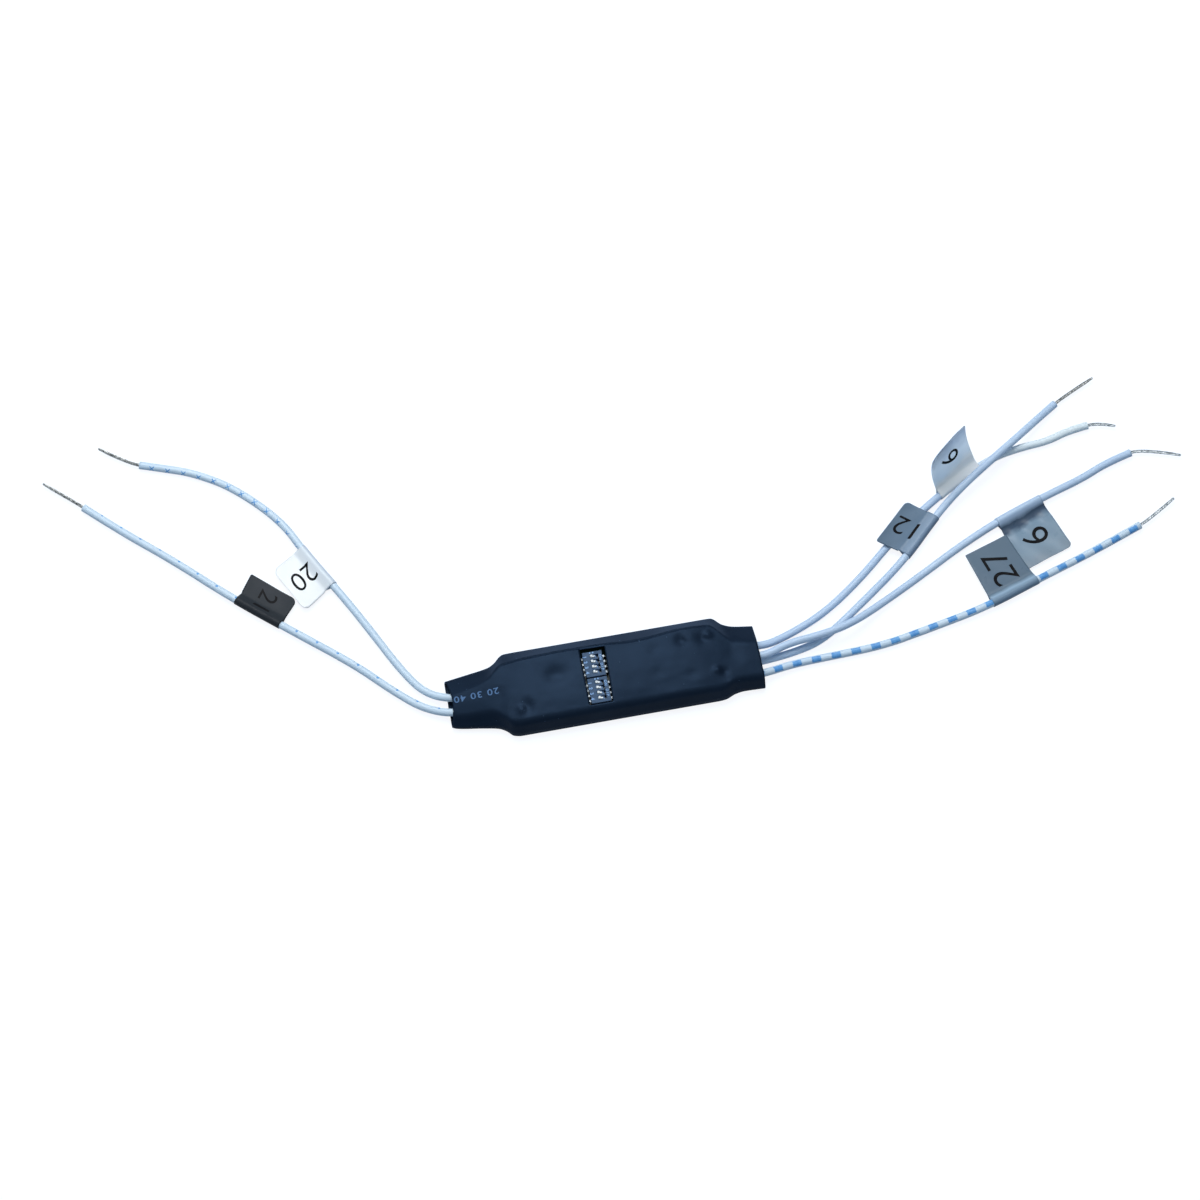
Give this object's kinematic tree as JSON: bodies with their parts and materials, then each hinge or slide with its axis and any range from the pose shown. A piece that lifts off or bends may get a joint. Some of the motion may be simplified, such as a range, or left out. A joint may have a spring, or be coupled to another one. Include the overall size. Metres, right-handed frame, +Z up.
{
  "type": "alarm expansion module",
  "caption": "Slim circuit board in a black heat-shrink sleeve with a window over miniature slide switches, and white leads with folded labels and tinned tips at both ends.",
  "frame": {"origin": "under the middle of the sleeve, on the surface it lies on", "axes": "+X along the sleeve from the two-lead end to the four-lead end, +Y to the far side as pictured, +Z up"},
  "size_m": [0.2617, 0.0894, 0.0134],
  "materials": {
    "sleeve": "shrunk polyolefin film, soft sheen",
    "board": "solder mask over glass laminate",
    "switch_body": "moulded, fine grain",
    "slider": "white moulded",
    "contact": "plated spring strip",
    "plated_lead": "tin plated",
    "package": "moulded epoxy",
    "tantalum": "moulded epoxy",
    "ceramic": "fired ceramic",
    "tinned": "tinned copper and solder",
    "label": "satin film tape",
    "insulation": "white extruded vinyl"
  },
  "bodies": {
    "module": {"heat_shrink_sleeve": "sleeve", "circuit_board": "board", "switch_a_housing": "switch_body", "switch_a_cover": "switch_body", "switch_a_terminals": "plated_lead", "switch_b_housing": "switch_body", "switch_b_cover": "switch_body", "switch_b_terminals": "plated_lead", "microcontroller_body": "package", "microcontroller_leads": "plated_lead", "regulator_body": "package", "regulator_leads": "plated_lead", "bridge_rectifier_body": "package", "bridge_rectifier_leads": "plated_lead", "storage_capacitor": "tantalum", "storage_capacitor_straps": "plated_lead", "resonator": "ceramic", "chip_resistors": "package", "chip_capacitors": "ceramic", "wire_tails": "tinned", "solder_joints": "tinned", "wire_left_far": "insulation", "wire_left_far_tip": "tinned", "wire_left_far_label": "label", "wire_left_near": "insulation", "wire_left_near_tip": "tinned", "wire_left_near_label": "label", "wire_right_back": "insulation", "wire_right_back_tip": "tinned", "wire_right_back_label": "label", "wire_right_far": "insulation", "wire_right_far_tip": "tinned", "wire_right_far_label": "label", "wire_right_middle": "insulation", "wire_right_middle_tip": "tinned", "wire_right_middle_label": "label", "wire_right_near": "insulation", "wire_right_near_tip": "tinned", "wire_right_near_label": "label"},
    "switch_a_slider_1": {"switch_a_slider_1": "slider", "switch_a_contact_1": "contact"},
    "switch_a_slider_2": {"switch_a_slider_2": "slider", "switch_a_contact_2": "contact"},
    "switch_a_slider_3": {"switch_a_slider_3": "slider", "switch_a_contact_3": "contact"},
    "switch_a_slider_4": {"switch_a_slider_4": "slider", "switch_a_contact_4": "contact"},
    "switch_b_slider_1": {"switch_b_slider_1": "slider", "switch_b_contact_1": "contact"},
    "switch_b_slider_2": {"switch_b_slider_2": "slider", "switch_b_contact_2": "contact"},
    "switch_b_slider_3": {"switch_b_slider_3": "slider", "switch_b_contact_3": "contact"},
    "switch_b_slider_4": {"switch_b_slider_4": "slider", "switch_b_contact_4": "contact"}
  },
  "joints": [
    {"name": "switch_a_slide_1", "type": "slide", "parent": "module", "child": "switch_a_slider_1", "axis": [1, 0, 0], "range_m": [0, 0.00075]},
    {"name": "switch_a_slide_2", "type": "slide", "parent": "module", "child": "switch_a_slider_2", "axis": [1, 0, 0], "range_m": [0, 0.00075]},
    {"name": "switch_a_slide_3", "type": "slide", "parent": "module", "child": "switch_a_slider_3", "axis": [1, 0, 0], "range_m": [0, 0.00075]},
    {"name": "switch_a_slide_4", "type": "slide", "parent": "module", "child": "switch_a_slider_4", "axis": [1, 0, 0], "range_m": [0, 0.00075]},
    {"name": "switch_b_slide_1", "type": "slide", "parent": "module", "child": "switch_b_slider_1", "axis": [1, 0, 0], "range_m": [0, 0.00075]},
    {"name": "switch_b_slide_2", "type": "slide", "parent": "module", "child": "switch_b_slider_2", "axis": [1, 0, 0], "range_m": [0, 0.00075]},
    {"name": "switch_b_slide_3", "type": "slide", "parent": "module", "child": "switch_b_slider_3", "axis": [1, 0, 0], "range_m": [0, 0.00075]},
    {"name": "switch_b_slide_4", "type": "slide", "parent": "module", "child": "switch_b_slider_4", "axis": [1, 0, 0], "range_m": [0, 0.00075]}
  ]
}
